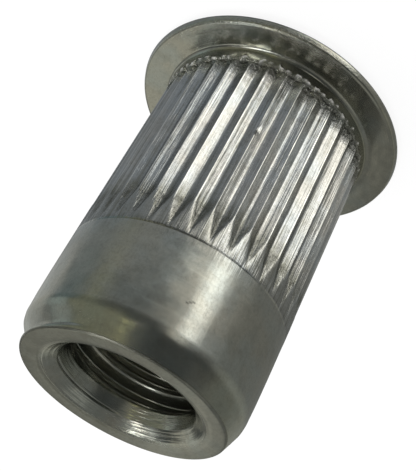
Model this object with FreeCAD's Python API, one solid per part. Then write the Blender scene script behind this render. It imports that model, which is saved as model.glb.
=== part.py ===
"""Flat-head rivet nut with a straight knurl, an open tapped end and a thin round head.

One cold-formed steel piece. It stands on its head: +Z runs along the bore, from the
head's outer face (z = 0) to the tapped end. Lengths are in millimetres.
"""
import FreeCAD, Part
import math
import os

# Overall
length = 14.54
body_d = 9.0

# Head
head_d = 11.7
head_t = 0.65
head_foot_chamfer = 0.36
head_edge_round = 0.22
neck_chamfer = 0.2

# Knurl: V grooves along the shank that meet in sharp crests just under its surface,
# each rising to the surface at both ends
groove_count = 37
groove_depth = 0.25
flank_slope_deg = 31.0
first_groove_deg = -2.0
neck_length = 0.57
knurl_length = 8.68
head_runout = 0.3
end_runout = 1.5

# Tapped end: bevel, a foot under the rolled rim, a flat face, a dish and a lead-in cone
bevel_length = 1.05
rim_d = 8.24
rim_round = 0.12
rim_under_deg = 30.0
rim_foot_d = 8.06
rim_foot_drop = 0.26
dish_d = 6.92
dish_step_d = 6.34
dish_step_drop = 0.085
lead_in_d = 5.48
lead_in_drop = 0.42
thread_drop = 1.0

# Bore: plain at the thread's minor diameter, then wider where the wall folds when set
thread_bore_d = 5.0
thread_length = 5.0
chamber_wall = 1.05
cone_half_deg = 59.0
mouth_chamfer = 0.3

# How far a groove's cutter reaches outside the shank, and how high its ends run out
cutter_cover = 0.2
cutter_lift = 0.1

body_r = body_d / 2
chamber_d = body_d - 2 * chamber_wall
knurl_start = head_t + neck_length
knurl_end = knurl_start + knurl_length
thread_end = length - thread_drop
thread_start = thread_end - thread_length
cone_length = (chamber_d - thread_bore_d) / 2 / math.tan(math.radians(cone_half_deg))
chamber_end = thread_start - cone_length


def on_circle(centre, radius, angle_deg):
    """The point of a circle at an angle from the outward radius towards +Z."""
    turn = math.radians(angle_deg)
    return centre[0] + radius * math.cos(turn), centre[1] + radius * math.sin(turn)


def at(point):
    """A (radius, height) point of the half section, in space."""
    return FreeCAD.Vector(point[0], 0, point[1])


def line(start, end):
    """A straight edge of the half section."""
    return Part.LineSegment(at(start), at(end)).toShape()


def arc(centre, radius, start_deg, end_deg):
    """A round edge of the half section, between two angles of its circle."""
    angles = (start_deg, (start_deg + end_deg) / 2, end_deg)
    points = [at(on_circle(centre, radius, angle)) for angle in angles]
    return Part.Arc(*points).toShape()


def head_edges():
    """From the bore's mouth across the head's outer face and round its rim to the neck."""
    mouth_r = chamber_d / 2 + mouth_chamfer
    head_r = head_d / 2
    foot_r = head_r - head_foot_chamfer
    rim_in = head_r - head_edge_round
    rim_top = head_t - head_edge_round
    neck_top = head_t + neck_chamfer
    return [
        line((chamber_d / 2, mouth_chamfer), (mouth_r, 0)),
        line((mouth_r, 0), (foot_r, 0)),
        line((foot_r, 0), (head_r, head_foot_chamfer)),
        line((head_r, head_foot_chamfer), (head_r, rim_top)),
        arc((rim_in, rim_top), head_edge_round, 0, 90),
        line((rim_in, head_t), (body_r + neck_chamfer, head_t)),
        line((body_r + neck_chamfer, head_t), (body_r, neck_top)),
        line((body_r, neck_top), (body_r, length - bevel_length)),
    ]


def tapped_end_edges():
    """Along the bevel, round the rim, over the face and down the dish and the lead-in."""
    foot = (rim_foot_d / 2, length - rim_foot_drop)
    rim_centre = (rim_d / 2 - rim_round, length - rim_round)
    dish_edge = (dish_d / 2, length)
    dish_step = (dish_step_d / 2, length - dish_step_drop)
    lead_in = (lead_in_d / 2, length - lead_in_drop)
    return [
        line((body_r, length - bevel_length), foot),
        line(foot, on_circle(rim_centre, rim_round, -rim_under_deg)),
        arc(rim_centre, rim_round, -rim_under_deg, 90),
        line((rim_centre[0], length), dish_edge),
        line(dish_edge, dish_step),
        line(dish_step, lead_in),
        line(lead_in, (thread_bore_d / 2, thread_end)),
    ]


def bore_edges():
    """Down the thread's bore, out along the cone and down the chamber to the mouth."""
    return [
        line((thread_bore_d / 2, thread_end), (thread_bore_d / 2, thread_start)),
        line((thread_bore_d / 2, thread_start), (chamber_d / 2, chamber_end)),
        line((chamber_d / 2, chamber_end), (chamber_d / 2, mouth_chamfer)),
    ]


def blank():
    """The nut before knurling: its half section turned about the bore's axis."""
    section = Part.Wire(head_edges() + tapped_end_edges() + bore_edges())
    return Part.Face(section).revolve(FreeCAD.Vector(0, 0, 0), FreeCAD.Vector(0, 0, 1), 360)


def groove_section(z, depth):
    """The groove's V at height z, with its point at the given depth below the surface."""
    half_width = (depth + cutter_cover) / math.tan(math.radians(flank_slope_deg))
    outer = body_r + cutter_cover
    point = FreeCAD.Vector(body_r - depth, 0, z)
    left = FreeCAD.Vector(outer, half_width, z)
    right = FreeCAD.Vector(outer, -half_width, z)
    return Part.makePolygon([point, left, right, point])


def groove_cutter():
    """One groove: full depth along its middle, its point rising straight at each end."""
    head_overrun = cutter_lift * head_runout / groove_depth
    end_overrun = cutter_lift * end_runout / groove_depth
    sections = [
        groove_section(knurl_start - head_overrun, -cutter_lift),
        groove_section(knurl_start + head_runout, groove_depth),
        groove_section(knurl_end - end_runout, groove_depth),
        groove_section(knurl_end + end_overrun, -cutter_lift),
    ]
    return Part.makeLoft(sections, True, True)


def knurled(shape):
    """The blank with the grooves cut at even steps round the shank."""
    cutters = []
    for index in range(groove_count):
        cutter = groove_cutter()
        turn = first_groove_deg + index * 360 / groove_count
        cutter.rotate(FreeCAD.Vector(0, 0, 0), FreeCAD.Vector(0, 0, 1), turn)
        cutters.append(cutter)
    return shape.cut(cutters)


rivet_nut = knurled(blank()).Solids[0]
print("volume mm3", round(rivet_nut.Volume, 3), "faces", len(rivet_nut.Faces))

os.makedirs("parts", exist_ok=True)
rivet_nut.exportStep("parts/rivet_nut.step")
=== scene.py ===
"""Rivet nut in zinc-plated steel: knurled shank, thin round head and an open tapped end.

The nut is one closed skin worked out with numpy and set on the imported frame.
"""
import math

import bpy
import numpy as np
from bpy.props import FloatProperty, FloatVectorProperty, IntProperty, PointerProperty
from mathutils import Matrix, Vector


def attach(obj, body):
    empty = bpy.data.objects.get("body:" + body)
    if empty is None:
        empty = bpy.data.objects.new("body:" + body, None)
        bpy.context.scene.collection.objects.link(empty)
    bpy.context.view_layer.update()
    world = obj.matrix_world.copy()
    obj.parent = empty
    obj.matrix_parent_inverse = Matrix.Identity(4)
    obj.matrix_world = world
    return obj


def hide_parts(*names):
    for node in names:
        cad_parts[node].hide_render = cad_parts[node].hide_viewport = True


bl_info = {
    "name": "Rivet nut",
    "version": (1, 0, 0),
    "blender": (4, 5, 0),
    "location": "View3D > Sidebar > Rivet nut",
    "description": "Builds a knurled rivet nut, its plated finish and its studio",
    "category": "Add Mesh",
}

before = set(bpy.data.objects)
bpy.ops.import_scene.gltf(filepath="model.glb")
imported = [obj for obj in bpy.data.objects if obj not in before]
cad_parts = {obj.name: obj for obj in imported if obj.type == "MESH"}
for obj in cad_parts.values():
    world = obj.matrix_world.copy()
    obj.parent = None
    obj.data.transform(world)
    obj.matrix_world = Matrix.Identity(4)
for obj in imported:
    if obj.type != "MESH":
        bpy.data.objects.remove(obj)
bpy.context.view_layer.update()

MM = 0.001


# Settings

def length_setting(name, description, mm):
    """A length that can be set, with its default in millimetres."""
    return FloatProperty(name=name, description=description, default=mm * MM, unit="LENGTH")


def angle_setting(name, description, degrees):
    """An angle that can be set, with its default in degrees."""
    return FloatProperty(
        name=name, description=description, default=math.radians(degrees), subtype="ANGLE")


def colour_setting(name, description, colour):
    """A colour that can be set."""
    return FloatVectorProperty(
        name=name, description=description, default=colour, subtype="COLOR", size=3, min=0, max=1)


class NutSizes(bpy.types.PropertyGroup):
    """Sizes of the turned form."""
    length: length_setting("Length", "Head's outer face to the tapped end's face", 14.54)
    body_d: length_setting("Shank diameter", "Across the smooth shank", 9.0)
    head_d: length_setting("Head diameter", "Across the head", 11.7)
    head_t: length_setting("Head thickness", "Outer face to inner face", 0.65)
    side_taper: length_setting(
        "Head side taper", "How far the rim's side leans in towards the shank", 0.10)
    foot_chamfer: length_setting(
        "Head foot chamfer", "Chamfer of the rim's edge on the outer face", 0.36)
    neck_round: length_setting("Neck round", "Radius of the fillet between head and shank", 0.2)
    bevel_length: length_setting(
        "Bevel length", "From the end's face back to the bevel's edge", 1.05)
    rim_d: length_setting("Rim diameter", "Across the rolled rim of the tapped end", 8.24)
    rim_round: length_setting("Rim round", "Radius of the rolled rim's edge", 0.12)
    rim_foot_d: length_setting(
        "Rim foot diameter", "Across the bottom of the dip under the rim", 7.88)
    rim_foot_drop: length_setting(
        "Rim foot drop", "From the end's face to the bottom of that dip", 0.26)
    rim_dip_azimuth: angle_setting(
        "Rim dip azimuth", "The side on which the dip under the rim is full", 105.0)
    end_fall: length_setting(
        "End fall", "How far the smooth shank falls in towards the bevel", 0.03)
    dish_d: length_setting("Dish diameter", "Across the shallow dish round the thread", 6.92)
    dish_step_d: length_setting(
        "Dish step diameter", "Across the edge where the dish gets steeper", 6.34)
    dish_step_drop: length_setting("Dish step drop", "From the end's face to that edge", 0.085)
    lead_in_d: length_setting(
        "Lead-in diameter", "Across the top of the cone that leads to the thread", 5.48)
    lead_in_drop: length_setting(
        "Lead-in drop", "From the end's face to the top of that cone", 0.42)
    chamber_d: length_setting("Chamber diameter", "Bore between head and thread", 6.9)
    chamber_cone: angle_setting(
        "Chamber cone", "Half angle of the cone between thread and chamber", 59.0)
    mouth_chamfer: length_setting("Mouth chamfer", "Chamfer of the bore's mouth in the head", 0.3)


class KnurlSizes(bpy.types.PropertyGroup):
    """Sizes of the straight knurl."""
    count: IntProperty(
        name="Grooves", description="Number of grooves round the shank", default=37, min=3)
    depth: length_setting("Groove depth", "Depth of a groove below the shank's surface", 0.235)
    slope: angle_setting("Flank slope", "Angle between a groove's flank and the surface", 31.0)
    first: angle_setting("First groove", "Azimuth of one groove's bottom", -2.0)
    start: length_setting(
        "Start height", "Where the grooves rise to the surface at the head", 1.22)
    end: length_setting("End height", "Where the grooves run out in points", 9.9)
    head_runout: length_setting(
        "Head run-out", "Length over which a groove deepens at the head", 0.26)
    end_runout: length_setting(
        "End run-out", "Length over which a groove fades at its far end", 1.5)
    step: length_setting("Step", "How far the knurl's crests stand over the smooth shank", 0.0045)


class WearSizes(bpy.types.PropertyGroup):
    """Sizes of the torn metal at the grooves' head ends and of the nick."""
    tear: length_setting("Tear", "How unevenly the grooves start at the head", 0.10)
    burr_height: length_setting("Burr height", "How far the chips of the burr stand out", 0.045)
    burr_width: length_setting("Burr width", "Width of the burr along the shank", 0.06)
    rough_height: length_setting(
        "Rough height", "Unevenness of the torn metal beside the burr", 0.022)
    crack_depth: length_setting("Crack depth", "Depth of the crack beside the burr", 0.085)
    crack_width: length_setting("Crack width", "Width of that crack along the shank", 0.036)
    crack_place: length_setting("Crack place", "From the grooves' start to that crack", 0.11)
    nick_azimuth: angle_setting("Nick azimuth", "Where the nick lies round the shank", 2.6)
    nick_height: length_setting("Nick height", "From the head's outer face to the nick", 4.42)
    nick_width: length_setting("Nick width", "Half width of the nick round the shank", 0.07)
    nick_length: length_setting("Nick length", "Half length of the nick along the shank", 0.22)
    nick_depth: length_setting("Nick depth", "Depth of the nick", 0.06)


class ThreadSizes(bpy.types.PropertyGroup):
    """Sizes of the right-hand thread."""
    pitch: length_setting("Pitch", "Rise of the thread in one turn", 1.0)
    minor_d: length_setting("Minor diameter", "Across the thread's crests", 5.0)
    major_d: length_setting("Major diameter", "Across the thread's roots", 5.96)
    run: length_setting("Length", "Length of the threaded bore", 5.0)
    drop: length_setting("Drop", "From the end's face to the threaded bore", 1.0)
    crest_azimuth: angle_setting("Crest azimuth", "Where a crest lies at the crest height", 155.0)
    crest_drop: length_setting("Crest drop", "That crest's depth below the end's face", 1.064)


class FinishColours(bpy.types.PropertyGroup):
    """Colours of the plated steel."""
    steel: colour_setting("Steel", "Plated steel of the head and the end", (0.50, 0.50, 0.455))
    drawn: colour_setting("Knurled steel", "Plated steel in the knurl", (0.54, 0.54, 0.545))
    # Rubbed crests and scores, and also the painted glint on chips and coarse metal.
    worn_and_glint: colour_setting("Worn crests", "Rubbed bright edges", (0.85, 0.84, 0.80))
    cool_cast: colour_setting(
        "Cool cast", "Bluish cast of the plating in some patches", (0.95, 0.99, 1.0))
    warm_cast: colour_setting(
        "Warm cast", "Brownish cast of the plating in other patches", (1.0, 0.98, 0.93))
    # The film also paints shade on the knurl's lands that face away from the light, and a highlight, as less
    # film, on those that face it.
    dark: colour_setting("Film", "Dark film in the dips", (0.25, 0.25, 0.215))
    # Besides dirt, this paints the shadow in the crack and the shade inside the nick.
    grime_and_shade: colour_setting("Grime", "Dirt in the cracks and scratches", (0.05, 0.05, 0.045))


class StageSettings(bpy.types.PropertyGroup):
    """Settings of the studio."""
    floor_radius: FloatProperty(
        name="Floor radius", description="Radius of the pale floor",
        default=0.6, unit="LENGTH")
    tent_radius: FloatProperty(
        name="Tent radius", description="Radius of the globe that the metal mirrors",
        default=0.12, unit="LENGTH")
    lamp_power: FloatProperty(
        name="Lamp power", description="Power of the overhead lamp", default=0.6, unit="POWER")


# Surface of the nut

def smooth_min(a, b, width):
    """The lesser of a and b, rounded where they are nearer to each other than width."""
    h = np.clip(0.5 + 0.5 * (b - a) / width, 0, 1)
    return b * (1 - h) + a * h - width * h * (1 - h)


def smooth_max(a, b, width):
    """The greater of a and b, rounded where they are nearer to each other than width."""
    return -smooth_min(-a, -b, width)


def smooth_step(x, low, high):
    """0 below low, 1 above high, and a smooth cubic between them."""
    t = np.clip((x - low) / (high - low), 0, 1)
    return t * t * (3 - 2 * t)


def band(x, low, full, fading, end):
    """1 from full to fading, 0 below low and above end, with smooth steps between."""
    return smooth_step(x, low, full) * (1 - smooth_step(x, fading, end))


def bell(x, middle, width):
    """A bell curve: 1 at the middle, and 1/e at the width from it."""
    return np.exp(-((x - middle) / width) ** 2)


def facing(theta, azimuth, low, high):
    """A mask of the side that faces an azimuth: a smooth step in the cosine of the angle
    from it."""
    return smooth_step(np.cos(theta - azimuth), low, high)


def waves(x, y, seed, count=6, low=1.0, high=3.0):
    """A repeatable unevenness from -1 to 1: the mean of sine waves in x and y of seeded
    directions, lengths and phases."""
    rng = np.random.default_rng(seed)
    total = np.zeros(np.broadcast(x, y).shape)
    for _ in range(count):
        turn = rng.uniform(0, 2 * np.pi)
        rate = rng.uniform(low, high)
        phase = rng.uniform(0, 2 * np.pi)
        total = total + np.sin(rate * (np.cos(turn) * x + np.sin(turn) * y) + phase)
    return total / count


def turned_points(radius, theta, z):
    """Points at a radius, an angle and a height about the bore's axis."""
    x, y = radius * np.cos(theta), radius * np.sin(theta)
    return np.stack([x, y, np.broadcast_to(z, x.shape)], -1)


def line_rows(start, end, count):
    """count points evenly along the straight line from start to end, without its end."""
    t = np.linspace(0, 1, count, endpoint=False)[:, None]
    return (1 - t) * np.array(start) + t * np.array(end)


def arc_rows(centre, radius, start_deg, end_deg, count):
    """count points round an arc, from its first angle to its last, without the last.
    Angles run from the outward radius towards the height."""
    a = np.radians(np.linspace(start_deg, end_deg, count, endpoint=False))[:, None]
    return np.array(centre) + radius * np.hstack([np.cos(a), np.sin(a)])


def soft_corner(before, corner, after, cut, count=4):
    """Points of a parabola that rounds a corner, touching both its lines at the cut."""
    before, corner, after = (np.array(point, float) for point in (before, corner, after))
    start = corner + cut * (before - corner) / np.linalg.norm(before - corner)
    end = corner + cut * (after - corner) / np.linalg.norm(after - corner)
    t = np.linspace(0, 1, count)[:, None]
    return (1 - t) ** 2 * start + 2 * t * (1 - t) * corner + t ** 2 * end


def outer_profile(n, k):
    """The half section's outside as (radius, height) rows, from the bore's mouth in the
    head round its edge and up the shank to the dish's step, in metres. Rows stand closer
    where the surface bends, at both ends of the grooves and round the nick."""
    r, head_r, nr = n.body_d / 2, n.head_d / 2, n.neck_round
    mouth = (n.chamber_d / 2, n.mouth_chamfer)
    face_in = (n.chamber_d / 2 + n.mouth_chamfer, 0)
    foot_in = (head_r - n.foot_chamfer, 0)
    foot_out = (head_r, n.foot_chamfer)
    rim_top = (head_r - n.side_taper, n.head_t)
    neck_end = n.head_t + nr
    edge_z = n.length - n.bevel_length
    foot = (n.rim_foot_d / 2, n.length - n.rim_foot_drop)
    bead_r = n.rim_round
    bead = np.array([n.rim_d / 2 - bead_r, n.length - bead_r])
    under_rim = math.radians(-30)
    under = bead + bead_r * np.array([math.cos(under_rim), math.sin(under_rim)])
    face_out = (bead[0], n.length)
    dish_edge = (n.dish_d / 2, n.length)
    dish_step = (n.dish_step_d / 2, n.length - n.dish_step_drop)
    full = k.start + k.head_runout
    nick_from, nick_to = 4.1 * MM, 4.8 * MM
    fade = k.end - k.end_runout
    parts = [
        line_rows(mouth, face_in, 3),
        line_rows(face_in, (foot_in[0] - 0.08 * MM, 0), 3),
        soft_corner(face_in, foot_in, foot_out, 0.08 * MM),
        soft_corner(foot_in, foot_out, rim_top, 0.07 * MM),
        soft_corner(foot_out, rim_top, (r, n.head_t), 0.10 * MM, 6),
        line_rows((rim_top[0] - 0.14 * MM, n.head_t), (r + nr, n.head_t), 6),
        arc_rows((r + nr, neck_end), nr, 270, 180, 6),
        line_rows((r, neck_end), (r, k.start - 0.14 * MM), 2),
        line_rows((r, k.start - 0.14 * MM), (r, full + 0.16 * MM), 18),
        line_rows((r, full + 0.16 * MM), (r, nick_from), 5),
        line_rows((r, nick_from), (r, nick_to), 7),
        line_rows((r, nick_to), (r, fade - 0.1 * MM), 6),
        line_rows((r, fade - 0.1 * MM), (r, k.end - 0.08 * MM), 13),
        line_rows((r, k.end - 0.08 * MM), (r, k.end + 0.08 * MM), 6),
        line_rows((r, k.end + 0.08 * MM), (r, edge_z - 0.25 * MM), 6),
        line_rows((r, edge_z - 0.25 * MM), (r, edge_z + 0.01 * MM), 5),
        line_rows((r, edge_z), foot, 6)[1:],
        soft_corner((r, edge_z), foot, under, 0.07 * MM, 4),
        arc_rows(bead, bead_r, -24, 90, 9),
        line_rows(face_out, (dish_edge[0] + 0.12 * MM, n.length), 4),
        soft_corner(face_out, dish_edge, dish_step, 0.10 * MM, 5),
    ]
    return np.vstack(parts)


def groove_opening(depth, radius, slope):
    """Half the angle that a V groove of that depth opens on a round shank: where its
    straight flank, rising at the slope, comes back to the surface."""
    return np.arccos(np.cos(slope) * (radius - depth) / radius) - slope


def knurl_depth(z, k, start=None):
    """Depth of the grooves at a height: full along the middle, rising straight to the
    surface over the run-out at each end."""
    start = k.start if start is None else start
    rise = np.minimum((z - start) / k.head_runout, (k.end - z) / k.end_runout)
    return k.depth * np.clip(rise, 0, 1)


def shank_columns(z, k, radius):
    """Angles of the grid's columns at each height, and their offsets from the nearest
    groove's bottom. In each tooth some columns keep to the groove and the others to the
    land beside it, so they follow the groove's edge. Beyond the knurl they spread out
    evenly."""
    inside = np.array([0, 0.12, 0.35, 0.68, 0.92, 1.0])
    beside = np.array([0.4, 1.0])
    pitch = 2 * np.pi / k.count
    near = np.clip(z, k.start + 0.3 * k.head_runout, k.end - 0.02 * k.end_runout)
    opening = np.maximum(groove_opening(knurl_depth(near, k), radius, k.slope), 0.04 * pitch)[:, None]
    half = np.hstack([opening * inside, opening + (pitch / 2 - opening) * beside])
    even = np.linspace(0, pitch / 2, half.shape[1])
    beyond = smooth_step(np.maximum(k.start - z, z - k.end), 0.05 * MM, 0.5 * MM)[:, None]
    half = half * (1 - beyond) + even * beyond
    tooth = np.hstack([-half[:, :0:-1], half[:, :-1]])
    turns = k.first + pitch * np.arange(k.count)
    offsets = np.tile(tooth[:, None, :], (1, k.count, 1))
    angles = turns[None, :, None] + offsets
    return angles.reshape(len(z), -1), offsets.reshape(len(z), -1)


def knurled_radius(radius, depth, offset, k):
    """Radius of the knurled shank: a groove's flat flank at an angle from its bottom lies
    at (radius - depth) cos(slope) / cos(angle + slope). The bottom is rounded, and the
    crest is the smoother lesser of the flank and the shank."""
    blunt_angle = 0.010
    angle = np.sqrt(offset ** 2 + blunt_angle ** 2) - 0.72 * blunt_angle
    flank = (radius - depth) * math.cos(k.slope) / np.cos(angle + k.slope)
    crest = smooth_min(radius, flank, 0.03 * MM)
    return np.where(depth > 0, crest, radius)


def torn_metal(theta, z, k, w):
    """The torn metal where the grooves begin at the head: each groove's own start, how far
    the metal stands out, and masks of the chips, of the rough zone and of the crack. The
    burr is a bell curve about the start, broken into chips by waves round the shank. The
    rough zone is finer waves, and the crack a narrow bell curve about its own height."""
    tear = waves(theta * 17, 0, 11, 7, 1.0, 4.0) + 1.3 * waves(theta * 75, z / MM, 12, 6)
    start = k.start + w.tear * tear
    chips = bell(z, start - w.burr_width / 2, w.burr_width)
    chips = chips * smooth_step(waves(theta * 45, 3 * theta, 13, 6), -0.15, 0.15)
    rough = band(z, k.start - 0.12 * MM, k.start + 0.03 * MM, k.start + 0.38 * MM, k.start + 0.73 * MM)
    rough = rough * np.ones_like(theta)
    uneven = waves(theta * 120, z / MM * 20, 14, 10, 0.6, 1.6)
    crack_z = k.start + w.crack_place + 0.035 * MM * waves(theta * 60, 0, 15, 7, 0.8, 3.0)
    crack = bell(z, crack_z, w.crack_width)
    out = w.burr_height * chips + w.rough_height * rough * uneven - w.crack_depth * crack
    return start, out, chips, rough, crack


def nick(theta, z, radius, w):
    """Depth of the small oval nick: a bell curve in the distance along and round the shank."""
    across = bell((theta - w.nick_azimuth) * radius, 0, w.nick_width)
    return w.nick_depth * across * bell(z, w.nick_height, w.nick_length)


def bevelled(radius, theta, z, profile, n):
    """Radius on the bevel. It is a straight line from the shank to the rim's round, where
    it meets the round at the line's lean, and on one side it sinks to the profile's dip
    under the rim. Its edge is the smoother lesser of a slightly slimmer shank and a
    flatter line."""
    body_r, edge_z = n.body_d / 2, n.length - n.bevel_length
    lean = math.radians(21.75)
    rim_low = n.length - n.rim_round * (1 - math.sin(lean))
    rim_out = n.rim_d / 2 - n.rim_round * (1 - math.cos(lean))
    slope = (body_r - rim_out) / (rim_low - edge_z)
    flush = np.where(z < rim_low, body_r - slope * (z - edge_z), profile)
    dip = facing(theta, n.rim_dip_azimuth, 0.1, 0.85)
    on_bevel = (z > edge_z) & (z < n.length - 0.001 * MM) & (profile > n.rim_d / 2 - 0.2 * MM)
    radius = np.where(on_bevel, flush - dip * (flush - profile), radius)
    flatter = body_r - (0.9 + 0.25 * dip) * slope * (z - edge_z)
    edge = smooth_min(body_r - 0.042 * MM, flatter, 0.12 * MM)
    return np.where(np.abs(z - edge_z) < 0.3 * MM, np.minimum(radius, edge), radius)


def dull_and_shade_mask(theta, z, sunk, profile, shank, n, k):
    """Dark, rougher film, with painted shade and highlight: in the grooves' far ends, and on the lands
    between them, where more film paints shade on those that face away from the light and less film
    paints a highlight on those that face it; and on the end's face, lighter on its side towards
    azimuth -90."""
    in_groove = smooth_step(sunk, 0.012 * MM, 0.04 * MM)
    groove_end = smooth_step(z, k.end - 2.2 * MM, k.end - 1.4 * MM) * (z < k.end)
    lit_edges = math.cos(math.radians(13)), math.cos(math.radians(7))
    lit_lands = facing(theta, math.radians(-12), *lit_edges)
    land_end = smooth_step(z, k.end - 1.6 * MM, k.end - 1.1 * MM) * (z < k.end)
    # Painted highlight and shade: lands facing azimuth -12, where the light's bright streak falls, get less
    # film than the others.
    dull_and_shade = np.maximum(0.75 * groove_end * in_groove, land_end * (0.55 - 0.25 * lit_lands))
    dull_and_shade = np.where(shank, dull_and_shade, 0.0)
    end_face = (z > n.length - 0.08 * MM) | (profile < n.dish_d / 2)
    lighter_side = 0.5 * facing(theta, math.radians(-90), 0.0, 0.7)
    return np.maximum(dull_and_shade, (end_face & (z > n.length / 2)) * (1 - lighter_side))


def outer_grid(n, k, w):
    """The outside of the nut as rows of points, with masks of rubbed edges and pale chips (the
    chips' paleness also paints their highlight), of coarse torn metal, whose specks paint sparkles,
    of drawn metal, of dark film with painted shade and highlight, and of dirt with painted shadow.
    The profile is turned about the axis, and then knurled, torn, bevelled and nicked."""
    rows = outer_profile(n, k)
    profile, z = rows[:, :1], rows[:, 1:]
    body_r = n.body_d / 2
    edge_z = n.length - n.bevel_length
    theta, offset = shank_columns(rows[:, 1], k, body_r)
    shank = (np.abs(profile - body_r) < 1e-7) & (z > n.head_t)

    start, torn, chips, rough, crack = torn_metal(theta, z, k, w)
    knurled = knurled_radius(body_r, knurl_depth(z, k, start), offset, k) + torn
    step = smooth_step(z, k.end - 0.03 * MM, k.end + 0.13 * MM)
    uneven_step = k.step * (1 + 0.6 * waves(theta * 9, 0, 16)) * step
    fall = n.end_fall * np.clip((z - k.end - 0.9 * MM) / (2.6 * MM), 0, 1) ** 2
    radius = np.where(shank, knurled - uneven_step - fall, profile)
    radius = bevelled(radius, theta, z, profile, n)
    radius = radius - np.where(shank, nick(theta, z, body_r, w), 0)
    points = turned_points(radius, theta, z)

    sunk = body_r - radius
    chips = np.where(shank, chips, 0)
    knurl = shank & (knurl_depth(z, k) > 0.02 * MM)
    wear = np.where(knurl, 1 - smooth_step(sunk, 0.012 * MM, 0.045 * MM), 0.0)
    wear = wear * (1 - 0.85 * smooth_step(z, k.end - 2.0 * MM, k.end - 1.2 * MM))
    dark_band = band(z, k.start - 0.10 * MM, k.start, k.start + 0.34 * MM, k.start + 0.46 * MM)
    # Painted glint: the head's upper edge, on its side towards azimuth 25, counts as coarse metal, whose
    # bright specks paint sparkles there.
    lit_head_edge = bell(z, n.head_t - 0.09 * MM, 0.12 * MM) * (profile > n.head_d / 2 - 0.45 * MM)
    lit_head_edge = lit_head_edge * facing(theta, math.radians(25), 0.5, 0.8)
    drawn = band(z, k.start + 0.08 * MM, k.start + 0.48 * MM, edge_z - 0.2 * MM, edge_z)
    return points, {
        # Chips count as wear: their pale colour paints their highlight as well as their powdery look.
        "wear": np.maximum(wear * (1 - rough), chips),
        "coarse": np.maximum.reduce([rough, chips, 0.7 * lit_head_edge]),
        "drawn": drawn * (1 - 0.95 * step) * np.ones_like(theta),
        "dull_and_shade": dull_and_shade_mask(theta, z, sunk, profile, shank, n, k),
        # Painted shadow in the crack, and a darker band where the grooves begin.
        "grime_and_shade": np.maximum(0.9 * crack, 0.32 * dark_band) * (1 - chips) * shank,
    }


def thread_radius(z, theta, n, t):
    """Radius of the tapped bore: the distance from the nearest crest's helix, less half
    the crest's flat, rises on 60 degree flanks to the root and is held there. It fades
    out towards both ends."""
    crest_z = n.length - t.crest_drop + t.pitch * (theta - t.crest_azimuth) / (2 * np.pi)
    turn = (z - crest_z) / t.pitch
    away = np.abs(turn - np.round(turn)) * t.pitch
    rise = smooth_max(away - 0.1 * MM, 0, 0.05 * MM) / math.tan(math.radians(30))
    full = smooth_min(rise, (t.major_d - t.minor_d) / 2, 0.06 * MM)
    low = n.length - t.drop - t.run
    begun = smooth_step(n.length - z, t.drop - 0.02 * MM, t.drop + 0.2 * MM)
    return t.minor_d / 2 + full * begun * smooth_step(z, low, low + 0.5 * MM)


def bore_grid(n, t, theta):
    """The inside as rows of points, from the dish's step down the lead-in cone, the thread
    and the chamber to the mouth in the head, with a mask of the turned metal above the
    thread. Cone and thread are the smoother greater of their radii, and a fine groove
    circles part of the dish's foot."""
    top = n.length - n.dish_step_drop
    cone_top, cone_foot = n.length - n.lead_in_drop, n.length - t.drop
    low = cone_foot - t.run
    cone_end = low - (n.chamber_d - t.minor_d) / 2 / math.tan(n.chamber_cone)
    z = np.concatenate([
        np.linspace(top, cone_top, 9, endpoint=False),
        np.linspace(cone_top, cone_top - 0.09 * MM, 7, endpoint=False),
        np.linspace(cone_top - 0.09 * MM, cone_foot, 8, endpoint=False),
        np.linspace(cone_foot, cone_foot - 2.6 * MM, 62, endpoint=False),
        np.linspace(cone_foot - 2.6 * MM, low, 28)])[:, None]
    heights = [cone_foot, cone_top, top]
    dish = np.interp(z, heights, [t.minor_d / 2, n.lead_in_d / 2, n.dish_step_d / 2])
    radius = smooth_max(dish, thread_radius(z, theta[None, :], n, t), 0.02 * MM)
    groove = 0.07 * MM * bell(z, cone_top - 0.035 * MM, 0.025 * MM)
    radius = radius + groove * facing(theta, math.radians(140), 0.70, 0.84)
    radius[0] = n.dish_step_d / 2
    plain = np.vstack([
        line_rows((t.minor_d / 2, low), (n.chamber_d / 2, cone_end), 4)[1:],
        line_rows((n.chamber_d / 2, cone_end), (n.chamber_d / 2, n.mouth_chamfer), 6),
    ])
    z = np.vstack([z, plain[:, 1:]])
    radius = np.vstack([radius, np.repeat(plain[:, :1], len(theta), 1)])
    points = turned_points(radius, theta, z)
    return points, {"turned": smooth_step(points[..., 2], cone_foot - 0.1 * MM, cone_foot)}


def ring_faces(rows, columns, first):
    """Quads between neighbouring rows of closed rings, numbered from the first vertex."""
    i = np.arange(rows - 1)[:, None] * columns
    j = np.arange(columns)[None, :]
    nxt = (j + 1) % columns
    return first + np.stack([i + j, i + nxt, i + columns + nxt, i + columns + j], -1).reshape(-1, 4)


def joining_faces(fine, coarse, outward):
    """Triangles between a ring and one with half as many points, which stand beside its
    even ones. Without outward they face the other way."""
    m = len(coarse)
    i = np.arange(m)
    a, b, c = fine[2 * i], fine[2 * i + 1], fine[(2 * i + 2) % len(fine)]
    d, e = coarse[i], coarse[(i + 1) % m]
    tris = np.vstack([np.stack(x, -1) for x in ((a, b, d), (b, e, d), (b, c, e))])
    return tris if outward else tris[:, ::-1]


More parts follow.
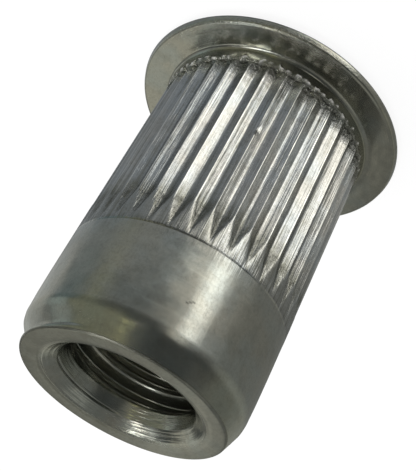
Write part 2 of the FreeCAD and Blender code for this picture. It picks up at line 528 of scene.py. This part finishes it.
def mesh_object(name, points, quads, triangles, material):
    """A smooth-shaded mesh object from arrays of points, quads and triangles."""
    mesh = bpy.data.meshes.new(name)
    corners = np.concatenate([quads.ravel(), triangles.ravel()])
    sizes = np.concatenate([np.full(len(quads), 4), np.full(len(triangles), 3)])
    starts = np.concatenate([[0], np.cumsum(sizes)[:-1]])
    mesh.vertices.add(len(points))
    mesh.vertices.foreach_set("co", points.astype(np.float32).ravel())
    mesh.loops.add(len(corners))
    mesh.loops.foreach_set("vertex_index", corners.astype(np.int32))
    mesh.polygons.add(len(sizes))
    mesh.polygons.foreach_set("loop_start", starts.astype(np.int32))
    mesh.polygons.foreach_set("use_smooth", np.ones(len(sizes), bool))
    mesh.update(calc_edges=True)
    mesh.validate()
    mesh.materials.append(material)
    obj = bpy.data.objects.new(name, mesh)
    bpy.context.scene.collection.objects.link(obj)
    return obj


def add_mask(obj, name, values):
    """Keeps one number per vertex on the mesh, for its material."""
    attribute = obj.data.attributes.new(name, "FLOAT", "POINT")
    attribute.data.foreach_set("value", values.astype(np.float32).ravel())


# Node helpers

def node(tree, kind, place, **values):
    """A shader node, with its sockets or settings set by name."""
    made = tree.nodes.new(kind)
    made.location = place
    for key, value in values.items():
        if key in made.inputs:
            made.inputs[key].default_value = value
        else:
            setattr(made, key, value)
    return made


def maths(tree, operation, a, b=None, c=None, clamp=False):
    """A Math node on numbers or sockets, and its output."""
    made = tree.nodes.new("ShaderNodeMath")
    made.operation = operation
    made.use_clamp = clamp
    for index, value in enumerate((a, b, c)):
        if value is None:
            continue
        if isinstance(value, (int, float)):
            made.inputs[index].default_value = value
        else:
            tree.links.new(value, made.inputs[index])
    return made.outputs[0]


def vector_maths(tree, operation, a, b=None):
    """A Vector Math node on one or two sockets or vectors."""
    made = tree.nodes.new("ShaderNodeVectorMath")
    made.operation = operation
    for index, value in enumerate((a, b)):
        if isinstance(value, bpy.types.NodeSocket):
            tree.links.new(value, made.inputs[index])
        elif value is not None:
            made.inputs[index].default_value = value
    return made


def above(tree, value, level, gain):
    """How far a value is above a level, times a gain, held between 0 and 1."""
    return maths(tree, "MULTIPLY", maths(tree, "SUBTRACT", value, level), gain, clamp=True)


def weighted_sum(tree, total, *terms):
    """A number plus each of the values times its weight."""
    for value, weight in terms:
        total = maths(tree, "ADD", total, maths(tree, "MULTIPLY", value, weight))
    return total


def from_axis(tree, x, y):
    """Distance from the Z axis: the root of x squared plus y squared."""
    squares = maths(tree, "ADD", maths(tree, "MULTIPLY", x, x), maths(tree, "MULTIPLY", y, y))
    return maths(tree, "SQRT", squares)


def fade_out(tree, value, low, high):
    """1 below low and 0 above high, with a smooth step between."""
    ramp = node(tree, "ShaderNodeMapRange", (0, 0), interpolation_type="SMOOTHSTEP")
    tree.links.new(value, ramp.inputs["Value"])
    for label, number in (("From Min", low), ("From Max", high), ("To Min", 1.0), ("To Max", 0.0)):
        ramp.inputs[label].default_value = number
    return ramp.outputs[0]


def seen_or_mirrored(tree):
    """1 for the rays of the camera, of mirrors and of clear things, and 0 for others."""
    path = node(tree, "ShaderNodeLightPath", (-600, 300))
    mirrored = maths(tree, "MAXIMUM", path.outputs["Is Glossy Ray"], path.outputs["Is Transmission Ray"])
    return maths(tree, "MAXIMUM", path.outputs["Is Camera Ray"], mirrored)


def blend_colour(tree, amount, a, b, blend_type="MIX"):
    """A colour Mix node of two colours or sockets, and its output."""
    made = tree.nodes.new("ShaderNodeMix")
    made.data_type = "RGBA"
    made.blend_type = blend_type
    for index, value in ((0, amount), (6, a), (7, b)):
        if isinstance(value, bpy.types.NodeSocket):
            tree.links.new(value, made.inputs[index])
        elif index == 0:
            made.inputs[index].default_value = value
        else:
            made.inputs[index].default_value = (*value[:3], 1)
    return made.outputs[2]


def new_group(name, inputs, outputs):
    """A shader node group with named inputs and outputs, and its two end nodes."""
    group = bpy.data.node_groups.new(name, "ShaderNodeTree")
    for label, kind, value in inputs:
        socket = group.interface.new_socket(name=label, in_out="INPUT", socket_type=kind)
        if value is not None:
            socket.default_value = value
    for label, kind in outputs:
        group.interface.new_socket(name=label, in_out="OUTPUT", socket_type=kind)
    return group, group.nodes.new("NodeGroupInput"), group.nodes.new("NodeGroupOutput")


def use_group(tree, group, **links):
    """A group placed in a tree, with values or sockets on its inputs by name."""
    made = tree.nodes.new("ShaderNodeGroup")
    made.node_tree = group
    for label, value in links.items():
        socket = made.inputs[label.replace("_", " ")]
        if isinstance(value, bpy.types.NodeSocket):
            tree.links.new(value, socket)
        else:
            socket.default_value = value
    return made


# Node groups

def streaks_group():
    """Fine lines along the bore's axis: noise on the position, drawn out along Z."""
    group, start, end = new_group(
        "Drawn streaks",
        [("Position", "NodeSocketVector", None), ("Fineness", "NodeSocketFloat", 9.0),
         ("Stretch", "NodeSocketFloat", 0.05)],
        [("Height", "NodeSocketFloat")])
    scale = group.nodes.new("ShaderNodeCombineXYZ")
    fine = start.outputs["Fineness"]
    group.links.new(fine, scale.inputs[0])
    group.links.new(fine, scale.inputs[1])
    group.links.new(maths(group, "MULTIPLY", fine, start.outputs["Stretch"]), scale.inputs[2])
    scaled = vector_maths(group, "MULTIPLY", start.outputs["Position"], scale.outputs[0])
    noise = node(group, "ShaderNodeTexNoise", (0, 0), Scale=1.0, Detail=3.0, Roughness=0.6)
    group.links.new(scaled.outputs[0], noise.inputs["Vector"])
    group.links.new(noise.outputs["Fac"], end.inputs["Height"])
    return group


def spot_group():
    """A small soft spot: 1 round its centre, falling to 0 where the distance from it, in
    units of the spot's radii, reaches 1."""
    group, start, end = new_group(
        "Spot",
        [("Position", "NodeSocketVector", None), ("Centre", "NodeSocketVector", None),
         ("Radii", "NodeSocketVector", (1.0, 1.0, 1.0))],
        [("Mask", "NodeSocketFloat")])
    offset = vector_maths(group, "SUBTRACT", start.outputs["Position"], start.outputs["Centre"])
    share = vector_maths(group, "DIVIDE", offset.outputs[0], start.outputs["Radii"])
    far = vector_maths(group, "LENGTH", share.outputs[0])
    group.links.new(fade_out(group, far.outputs["Value"], 0.3, 1.0), end.inputs["Mask"])
    return group


def rings_group():
    """Fine turning marks: noise on the distance from the bore's axis and on the height,
    hardly changing round the axis."""
    group, start, end = new_group(
        "Turned rings",
        [("Position", "NodeSocketVector", None), ("Fineness", "NodeSocketFloat", 7.0)],
        [("Height", "NodeSocketFloat")])
    axes = node(group, "ShaderNodeSeparateXYZ", (0, 0))
    group.links.new(start.outputs["Position"], axes.inputs[0])
    x, y, z = axes.outputs
    fine = start.outputs["Fineness"]
    place = group.nodes.new("ShaderNodeCombineXYZ")
    group.links.new(maths(group, "MULTIPLY", from_axis(group, x, y), fine), place.inputs[0])
    group.links.new(maths(group, "MULTIPLY", z, fine), place.inputs[1])
    group.links.new(maths(group, "MULTIPLY", maths(group, "ARCTAN2", y, x), 0.8), place.inputs[2])
    noise = node(group, "ShaderNodeTexNoise", (0, 0), Scale=1.0, Detail=3.0, Roughness=0.55)
    group.links.new(place.outputs[0], noise.inputs["Vector"])
    group.links.new(noise.outputs["Fac"], end.inputs["Height"])
    return group


def window_group():
    """One soft window of light: 1 where the azimuth is within the half width of its centre
    and the elevation within the half height, fading to 0 over the softness."""
    group, start, end = new_group(
        "Soft window",
        [("Azimuth", "NodeSocketFloat", 0.0), ("Elevation", "NodeSocketFloat", 0.0),
         ("Centre azimuth", "NodeSocketFloat", 0.0), ("Centre elevation", "NodeSocketFloat", 0.0),
         ("Half width", "NodeSocketFloat", 10.0), ("Half height", "NodeSocketFloat", 10.0),
         ("Softness", "NodeSocketFloat", 5.0)],
        [("Mask", "NodeSocketFloat")])

    def side(value, centre, half):
        """1 well within the half size of the centre, and 0 well beyond it."""
        gap = maths(group, "SUBTRACT", start.outputs[value], start.outputs[centre])
        if value == "Azimuth":
            gap = maths(group, "WRAP", gap, 180.0, -180.0)
        gap = maths(group, "SUBTRACT", maths(group, "ABSOLUTE", gap), start.outputs[half])
        ratio = maths(group, "DIVIDE", gap, start.outputs["Softness"])
        return fade_out(group, ratio, -0.5, 0.5)

    mask = maths(group, "MULTIPLY", side("Azimuth", "Centre azimuth", "Half width"),
                 side("Elevation", "Centre elevation", "Half height"))
    group.links.new(mask, end.inputs["Mask"])
    return group


# Materials

MASKS = ("wear", "coarse", "drawn", "dull_and_shade", "turned", "grime_and_shade")

# Dark marks on the shank: azimuth in degrees, then height and half sizes round and along
# the shank in mm. They lie just under its surface and reach a little in and out.
MARK_RADIUS, MARK_REACH = 4.48, 0.12
MARKS = (
    ("scratch", -8.3, 12.15, 0.11, 0.06),
    ("scratch's middle", -7.1, 12.21, 0.11, 0.05),
    ("scratch's tail", -5.9, 12.28, 0.10, 0.045),
    # The nick's dark spot paints the shade inside the dent.
    ("nick", 3.4, 4.35, 0.04, 0.24),
)


def shank_marks(tree, position):
    """The strongest of the small dark marks at each point."""
    group = spot_group()
    total = None
    for name, azimuth, height, across, along in MARKS:
        turn = math.radians(azimuth)
        spot = use_group(tree, group, Position=position, Radii=(MARK_REACH, across, along),
                         Centre=(MARK_RADIUS * math.cos(turn), MARK_RADIUS * math.sin(turn), height))
        spot.label = name
        mask = spot.outputs["Mask"]
        total = mask if total is None else maths(tree, "MAXIMUM", total, mask)
    return total


def steel_patterns(tree, mm):
    """The steel's patterns by name: streaks and scores along the bore's axis, rings round
    it, and four noises from fine grain to a slow tint. mm is the position."""
    along = streaks_group()
    streaks = use_group(tree, along, Position=mm, Fineness=13.0, Stretch=0.025)
    scores = use_group(tree, along, Position=mm, Fineness=7.0, Stretch=0.015)
    rings = use_group(tree, rings_group(), Position=mm, Fineness=9.0)
    patterns = {
        "streaks": streaks.outputs["Height"],
        "scores": scores.outputs["Height"],
        "rings": rings.outputs["Height"],
    }
    noises = (
        ("mottle", 1.4, 6.0, 0.62),
        ("grain", 9.0, 4.0, 0.65),
        ("swell", 1.4, 1.0, 0.5),
        ("tint", 0.55, 3.0, 0.55),
    )
    for row, (name, scale, detail, roughness) in enumerate(noises):
        noise = node(tree, "ShaderNodeTexNoise", (-900, -200 - 200 * row),
                     Scale=scale, Detail=detail, Roughness=roughness)
        noise.label = name
        tree.links.new(mm, noise.inputs["Vector"])
        patterns[name] = noise.outputs["Fac"]
    return patterns


def steel_colour(tree, mm, patterns, masks, colours):
    """Base colour: the plating with a cool or a warm cast, under a dark film that lies in
    patches, specks and drawn lines, in the grooves' far ends, on the knurl's lands, where it also
    paints shade and a highlight, and on the end's face. A near-black dirt colour lies over it in
    the torn zone and the marks, where it also paints the crack's shadow and the shade in the nick.
    Scores and rubbed crests are bright, and the pale chips and the bright specks on coarse metal
    are a painted glint."""
    warm = above(tree, patterns["tint"], 0.40, 5.0)
    cast = blend_colour(tree, warm, colours.cool_cast, colours.warm_cast)
    colour = blend_colour(tree, masks["drawn"], colours.steel, colours.drawn)
    colour = blend_colour(tree, 1.0, colour, cast, "MULTIPLY")
    patch = above(tree, patterns["mottle"], 0.46, 2.6)
    speck = above(tree, patterns["grain"], 0.47, 3.0)
    line = maths(tree, "MULTIPLY", above(tree, patterns["streaks"], 0.50, 4.5), masks["drawn"])
    film = weighted_sum(tree, 0.0, (patch, 0.50), (speck, 0.38), (line, 0.75), (masks["dull_and_shade"], 0.8))
    colour = blend_colour(tree, film, colour, colours.dark)
    marks = maths(tree, "MULTIPLY", shank_marks(tree, mm), 0.55)
    # Near-black dirt over the torn zone and the marks, which also paints the crack's shadow and the nick's
    # shade.
    colour = blend_colour(tree, maths(tree, "MAXIMUM", masks["grime_and_shade"], marks), colour, colours.grime_and_shade)
    score = maths(tree, "MULTIPLY", above(tree, patterns["scores"], 0.55, 6.0), masks["drawn"])
    bright = maths(tree, "MAXIMUM", maths(tree, "MULTIPLY", score, 0.6), masks["wear"])
    # Painted glint: bright specks on the coarse metal and the chips.
    painted_glints = maths(tree, "MULTIPLY", masks["coarse"], above(tree, patterns["grain"], 0.5, 5.0))
    bright = maths(tree, "MAXIMUM", bright, painted_glints)
    colour = blend_colour(tree, maths(tree, "MULTIPLY", bright, 0.8), colour, colours.worn_and_glint)
    return blend_colour(tree, masks["chips"], colour, colours.worn_and_glint)


def steel_roughness(tree, mm, patterns, masks, knurl_end):
    """Roughness: satin with grain, rougher beyond the knurl's end in mm, on the dark film and on
    torn metal, and smoother on rubbed crests and turned metal."""
    axes = node(tree, "ShaderNodeSeparateXYZ", (-900, -1000))
    tree.links.new(mm, axes.inputs[0])
    beyond_knurl = above(tree, axes.outputs["Z"], knurl_end, 4.0)
    return weighted_sum(
        tree, 0.155, (patterns["grain"], 0.10), (beyond_knurl, 0.045), (masks["wear"], -0.06),
        (masks["dull_and_shade"], 0.10), (masks["coarse"], 0.05), (masks["turned"], -0.07))


def steel_height(tree, patterns, masks):
    """Height of the fine relief in mm: a slow swell, and each pattern where its mask is."""
    undrawn = maths(tree, "SUBTRACT", 1.0, masks["drawn"])
    layers = (
        (patterns["streaks"], masks["drawn"], 0.018),
        (patterns["scores"], masks["drawn"], 0.026),
        (patterns["rings"], undrawn, 0.0015),
        (patterns["rings"], masks["dull_and_shade"], 0.006),
        (patterns["rings"], masks["turned"], 0.020),
        (patterns["grain"], masks["coarse"], 0.04),
    )
    height = maths(tree, "MULTIPLY", patterns["swell"], 0.014)
    for pattern, mask, depth in layers:
        height = weighted_sum(tree, height, (maths(tree, "MULTIPLY", pattern, mask), depth))
    return height


def steel_material(colours, knurl_end):
    """Zinc-plated steel: a satin metal, less metallic on the torn chips, whose pale colour
    paints their highlight as well as their powdery look.
    """
    material = bpy.data.materials.new("plated_steel_skin")
    material.use_nodes = True
    tree = material.node_tree
    shader = tree.nodes["Principled BSDF"]
    place = node(tree, "ShaderNodeTexCoord", (-1400, 0)).outputs["Object"]
    scaled = vector_maths(tree, "SCALE", place)
    scaled.inputs["Scale"].default_value = 1 / MM
    mm = scaled.outputs[0]
    masks = {}
    for row, name in enumerate(MASKS):
        mask = node(tree, "ShaderNodeAttribute", (-1200, 300 + 200 * row), attribute_name=name)
        masks[name] = mask.outputs["Fac"]
    # Chips are pale and less metallic, which paints their highlight as well as their powdery look.
    masks["chips"] = maths(tree, "MULTIPLY", masks["coarse"], masks["wear"])
    patterns = steel_patterns(tree, mm)
    bump = node(tree, "ShaderNodeBump", (-200, -300), Strength=1.0, Distance=MM)
    tree.links.new(steel_height(tree, patterns, masks), bump.inputs["Height"])
    colour = steel_colour(tree, mm, patterns, masks, colours)
    tree.links.new(colour, shader.inputs["Base Color"])
    roughness = steel_roughness(tree, mm, patterns, masks, knurl_end)
    tree.links.new(roughness, shader.inputs["Roughness"])
    # Less metallic on the chips, for their painted highlight.
    tree.links.new(weighted_sum(tree, 1.0, (masks["chips"], -0.65)), shader.inputs["Metallic"])
    tree.links.new(bump.outputs[0], shader.inputs["Normal"])
    return material


def floor_material():
    """Pale floor: mostly plain white where it is seen, and partly matt, so that it keeps
    the nut's soft shadow."""
    material = bpy.data.materials.new("pale_floor")
    material.use_nodes = True
    tree = material.node_tree
    tree.nodes.remove(tree.nodes["Principled BSDF"])
    output = tree.nodes["Material Output"]
    matt = node(tree, "ShaderNodeBsdfDiffuse", (0, 0), Color=(0.95, 0.95, 0.95, 1))
    white = node(tree, "ShaderNodeEmission", (0, -200), Color=(1, 1, 1, 1), Strength=1.05)
    mix = node(tree, "ShaderNodeMixShader", (300, 0))
    tree.links.new(maths(tree, "MULTIPLY", seen_or_mirrored(tree), 0.85), mix.inputs[0])
    tree.links.new(matt.outputs[0], mix.inputs[1])
    tree.links.new(white.outputs[0], mix.inputs[2])
    tree.links.new(mix.outputs[0], output.inputs["Surface"])
    return material


# Soft windows of the light tent: azimuth, elevation, half width, half height and softness
# in degrees, then colour and strength. Those of negative elevation are below the nut's
# middle.
WINDOWS = (
    ("key, far", -27, -26, 7, 8, 14, (1.0, 1.0, 0.97), 2.4),
    ("key, near", -16, -39, 25, 7, 10, (1.0, 0.98, 0.90), 2.1),
    ("key's halo", -30, -24, 28, 12, 18, (1.0, 1.0, 0.97), 0.27),
    ("key, beige", -58, -38, 12, 6, 10, (1.0, 0.97, 0.85), 0.26),
    ("key, on the rim", -18, -7, 9, 5, 8, (1.0, 0.98, 0.90), 0.9),
    ("key's tail", 24, -40, 22, 6, 12, (1.0, 1.0, 0.97), 0.12),
    ("right floor", -110, -22, 55, 22, 15, (1.0, 1.0, 0.93), 0.13),
    ("right floor, near", -105, -40, 50, 7, 8, (0.92, 0.97, 1.0), 0.14),
    ("left floor, near", 75, -34, 80, 12, 10, (0.90, 0.97, 1.05), 0.21),
    ("left floor, dark", 28, -24, 36, 9, 10, (1.0, 1.0, 0.88), 0.06),
    ("left floor, brown", 68, -16, 9, 9, 9, (1.0, 1.0, 0.6), 0.17),
    ("left floor, blue", 95, -14, 16, 9, 9, (0.6, 0.9, 1.0), 0.13),
    ("left floor, pale", 133, -6, 19, 18, 12, (1.0, 1.0, 0.96), 0.42),
    ("far floor", 163, -12, 14, 12, 12, (1.0, 1.0, 0.96), 0.36),
    ("grey wall", 16, 9, 4, 9, 4, (1.0, 1.0, 0.92), 0.20),
    ("yellow lamp", 26, 15, 2.5, 4, 4, (1.0, 0.96, 0.50), 1.6),
    ("olive wall", 58, 10, 30, 14, 10, (1.0, 1.0, 0.66), 0.18),
    ("left wall, back", 107, 27, 20, 8, 10, (1.0, 1.0, 0.95), 0.24),
    ("blue wall", 101, 6, 11, 12, 6, (0.84, 1.0, 1.0), 0.33),
    ("left wall, high", 45, 42, 35, 14, 12, (1.0, 1.0, 0.88), 0.20),
    ("right wall", -120, 2, 55, 16, 12, (1.0, 1.0, 0.80), 0.12),
    ("right wall, top", -85, 62, 30, 10, 10, (1.0, 1.0, 0.92), 0.20),
    ("right wall, high", -105, 36, 60, 16, 12, (1.0, 1.0, 0.92), 0.13),
    ("back wall", 162, 38, 27, 17, 12, (1.0, 0.99, 0.88), 0.45),
    ("middle back", -172, 9, 10, 16, 10, (1.0, 1.0, 0.88), 0.22),
    ("high lamp", 53, 54, 5, 12, 7, (1.0, 1.0, 0.98), 6.5),
    ("top lamp", 130, 72, 8, 4, 5, (1.0, 1.0, 0.94), 9.0),
    ("high window", 120, 66, 22, 8, 8, (1.0, 1.0, 0.96), 0.6),
    ("ceiling", 0, 75, 180, 22, 14, (1.0, 1.0, 0.92), 0.10),
)
TENT_CLOTH = (0.066, 0.071, 0.070)
TENT_HEIGHT = 7 * MM


def tent_material():
    """Light tent: a dim cloth to which each soft window adds its light, seen only in
    reflections. The direction from the nut's middle gives azimuth and elevation."""
    material = bpy.data.materials.new("tent_cloth")
    material.use_nodes = True
    tree = material.node_tree
    tree.nodes.remove(tree.nodes["Principled BSDF"])
    place = node(tree, "ShaderNodeTexCoord", (-1800, 0)).outputs["Object"]
    moved = vector_maths(tree, "SUBTRACT", place, (0, 0, TENT_HEIGHT))
    axes = node(tree, "ShaderNodeSeparateXYZ", (-1400, 0))
    tree.links.new(moved.outputs[0], axes.inputs[0])
    x, y, z = axes.outputs
    azimuth = maths(tree, "DEGREES", maths(tree, "ARCTAN2", y, x))
    elevation = maths(tree, "DEGREES", maths(tree, "ARCTAN2", z, from_axis(tree, x, y)))
    window = window_group()
    light = TENT_CLOTH
    for name, turn, climb, width, height, softness, colour, strength in WINDOWS:
        placed = use_group(
            tree, window, Azimuth=azimuth, Elevation=elevation, Centre_azimuth=float(turn),
            Centre_elevation=float(climb), Half_width=float(width), Half_height=float(height),
            Softness=float(softness))
        placed.label = name
        lit = tuple(strength * part for part in colour)
        shown = blend_colour(tree, placed.outputs["Mask"], (0, 0, 0), lit)
        light = blend_colour(tree, 1.0, light, shown, "ADD")
    glow = node(tree, "ShaderNodeEmission", (200, 0), Strength=1.0)
    tree.links.new(light, glow.inputs["Color"])
    tree.links.new(glow.outputs[0], tree.nodes["Material Output"].inputs["Surface"])
    return material


# Camera, as fitted to the photograph: eye and aim in millimetres, then the small turns
# about its own up, right and view axes in radians, and its focal length in pixels
EYE = (31.926, 0, 26.893)
AIM = (0, 0, 7.2)
YAW, PITCH, ROLL = 0.00059, -0.00922, 2.65040
FOCAL_LENGTH_PX = 945.61
PHOTO_HEIGHT_PX = 471
SENSOR_MM = 36

# Overhead lamp: its place and the side of its square, in metres
LAMP_PLACE = (-0.10, 0.08, 0.35)
LAMP_SIDE = 0.30


# Operators

class RIVETNUT_OT_body(bpy.types.Operator):
    """Build the nut's skin and its finish"""
    bl_idname = "rivetnut.body"
    bl_label = "Build the nut"

    def execute(self, context):
        scene = context.scene
        outer, masks = outer_grid(scene.nut_sizes, scene.knurl_sizes, scene.wear_sizes)
        rows, columns = outer.shape[:2]
        theta = np.arctan2(outer[-1, ::2, 1], outer[-1, ::2, 0])
        inner, bore_masks = bore_grid(scene.nut_sizes, scene.thread_sizes, theta)
        points = np.vstack([outer.reshape(-1, 3), inner.reshape(-1, 3)])
        first = rows * columns
        quads = np.vstack([
            ring_faces(rows, columns, 0),
            ring_faces(len(inner), len(theta), first),
        ])
        last_outer = (rows - 1) * columns + np.arange(columns)
        last_inner = first + (len(inner) - 1) * len(theta) + np.arange(len(theta))
        triangles = np.vstack([
            joining_faces(last_outer, first + np.arange(len(theta)), True),
            joining_faces(np.arange(columns), last_inner, False),
        ])
        material = steel_material(scene.finish_colours, scene.knurl_sizes.end / MM)
        nut = mesh_object("nut_skin", points, quads, triangles, material)
        for name in MASKS:
            outside = masks.get(name, np.zeros(outer.shape[:2]))
            inside = bore_masks.get(name, np.zeros(inner.shape[:2]))
            add_mask(nut, name, np.concatenate([outside.ravel(), inside.ravel()]))
        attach(nut, "root")
        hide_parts("rivet_nut")
        return {"FINISHED"}


class RIVETNUT_OT_stage(bpy.types.Operator):
    """Build the floor, the light tent, the lamp, the pale world and the camera"""
    bl_idname = "rivetnut.stage"
    bl_label = "Build the studio"

    def execute(self, context):
        scene = context.scene
        self.floor(scene.stage_settings.floor_radius)
        self.tent(scene.stage_settings.tent_radius)
        self.lamp(scene, scene.stage_settings.lamp_power)
        self.world(scene)
        self.camera(scene)
        return {"FINISHED"}

    def floor(self, radius):
        """A flat disc, hidden from mirrors: rings of points, each at its ring's radius and
        its spoke's angle, round a middle point."""
        shares = np.array([1.0, 0.3, 0.1, 0.02])[:, None]
        spokes = 64
        angle = np.linspace(0, 2 * np.pi, spokes, endpoint=False)
        rings = turned_points(radius * shares, angle, 0)
        points = np.vstack([rings.reshape(-1, 3), [[0, 0, 0]]])
        middle = len(points) - 1
        inner = middle - spokes
        j = np.arange(spokes)
        cap = np.stack([inner + j, inner + (j + 1) % spokes, np.full(spokes, middle)], -1)
        quads = ring_faces(len(shares), spokes, 0)
        disc = mesh_object("floor", points, quads, cap, floor_material())
        disc.visible_glossy = False

    def tent(self, radius):
        """A globe about the nut, facing inwards and seen only in reflections: rings of a
        half circle's heights and radii, from near its top to near its bottom."""
        rings, spokes = 61, 96
        climb = np.radians(np.linspace(89.5, -89.5, rings))[:, None]
        angle = np.linspace(0, 2 * np.pi, spokes, endpoint=False)
        height = radius * np.sin(climb) + TENT_HEIGHT
        points = turned_points(radius * np.cos(climb), angle, height).reshape(-1, 3)
        no_triangles = np.zeros((0, 3), int)
        globe = mesh_object("light_tent", points, ring_faces(rings, spokes, 0), no_triangles, tent_material())
        globe.visible_camera = False
        globe.visible_diffuse = False
        globe.visible_transmission = False
        globe.visible_volume_scatter = False
        globe.visible_shadow = False

    def lamp(self, scene, power):
        """A square area lamp above the nut that looks at it and isn't mirrored."""
        light = bpy.data.lights.new("overhead_lamp", "AREA")
        light.size = LAMP_SIDE
        light.energy = power
        lamp = bpy.data.objects.new("overhead_lamp", light)
        lamp.location = LAMP_PLACE
        lamp.rotation_euler = (-lamp.location).to_track_quat("-Z", "Y").to_euler()
        lamp.visible_glossy = False
        scene.collection.objects.link(lamp)

    def world(self, scene):
        """A plain pale world: white where it is seen or mirrored, softer as light."""
        world = bpy.data.worlds.new("pale_room")
        scene.world = world
        world.use_nodes = True
        tree = world.node_tree
        back = tree.nodes["Background"]
        colour = blend_colour(tree, seen_or_mirrored(tree), (0.7, 0.7, 0.7), (1, 1, 1))
        tree.links.new(colour, back.inputs["Color"])

    def camera(self, scene):
        """The camera, looking from its eye at its aim, then turned about its own axes."""
        eye = Vector(EYE) * MM
        ahead = (Vector(AIM) * MM - eye).normalized()
        right = ahead.cross(Vector((0, 0, 1))).normalized()
        up = right.cross(ahead)
        for angle, axis in ((YAW, up), (PITCH, right)):
            turn = Matrix.Rotation(angle, 3, axis)
            ahead, right, up = turn @ ahead, turn @ right, turn @ up
        turn = Matrix.Rotation(ROLL, 3, ahead)
        right, up = turn @ right, turn @ up
        lens = bpy.data.cameras.new("photo_camera")
        lens.sensor_width = SENSOR_MM
        lens.lens = FOCAL_LENGTH_PX / PHOTO_HEIGHT_PX * SENSOR_MM
        lens.clip_start = 0.001
        lens.clip_end = 10
        camera = bpy.data.objects.new("photo_camera", lens)
        turned = Matrix((right, up, -ahead)).transposed().to_4x4()
        camera.matrix_world = Matrix.Translation(eye) @ turned
        scene.collection.objects.link(camera)
        scene.camera = camera


class RIVETNUT_PT_panel(bpy.types.Panel):
    """The nut's operators in the sidebar"""
    bl_idname = "RIVETNUT_PT_panel"
    bl_label = "Rivet nut"
    bl_space_type = "VIEW_3D"
    bl_region_type = "UI"
    bl_category = "Rivet nut"

    def draw(self, context):
        for operator in OPERATORS:
            self.layout.operator(operator.bl_idname)
        for name, _ in SETTINGS:
            group = getattr(context.scene, name)
            box = self.layout.box()
            for prop in group.__annotations__:
                box.prop(group, prop)


SETTINGS = (
    ("nut_sizes", NutSizes),
    ("knurl_sizes", KnurlSizes),
    ("thread_sizes", ThreadSizes),
    ("wear_sizes", WearSizes),
    ("finish_colours", FinishColours),
    ("stage_settings", StageSettings),
)
OPERATORS = (RIVETNUT_OT_body, RIVETNUT_OT_stage)


def register():
    """Register the settings, the operators and the panel."""
    for name, group in SETTINGS:
        bpy.utils.register_class(group)
        setattr(bpy.types.Scene, name, PointerProperty(type=group))
    for operator in OPERATORS:
        bpy.utils.register_class(operator)
    bpy.utils.register_class(RIVETNUT_PT_panel)


def unregister():
    """Take all of it away again."""
    bpy.utils.unregister_class(RIVETNUT_PT_panel)
    for operator in reversed(OPERATORS):
        bpy.utils.unregister_class(operator)
    for name, group in reversed(SETTINGS):
        delattr(bpy.types.Scene, name)
        bpy.utils.unregister_class(group)


def main():
    register()
    bpy.context.scene.view_settings.view_transform = "Standard"
    bpy.ops.rivetnut.body()
    bpy.ops.rivetnut.stage()
    bpy.context.view_layer.update()


if __name__ == "__main__":
    main()
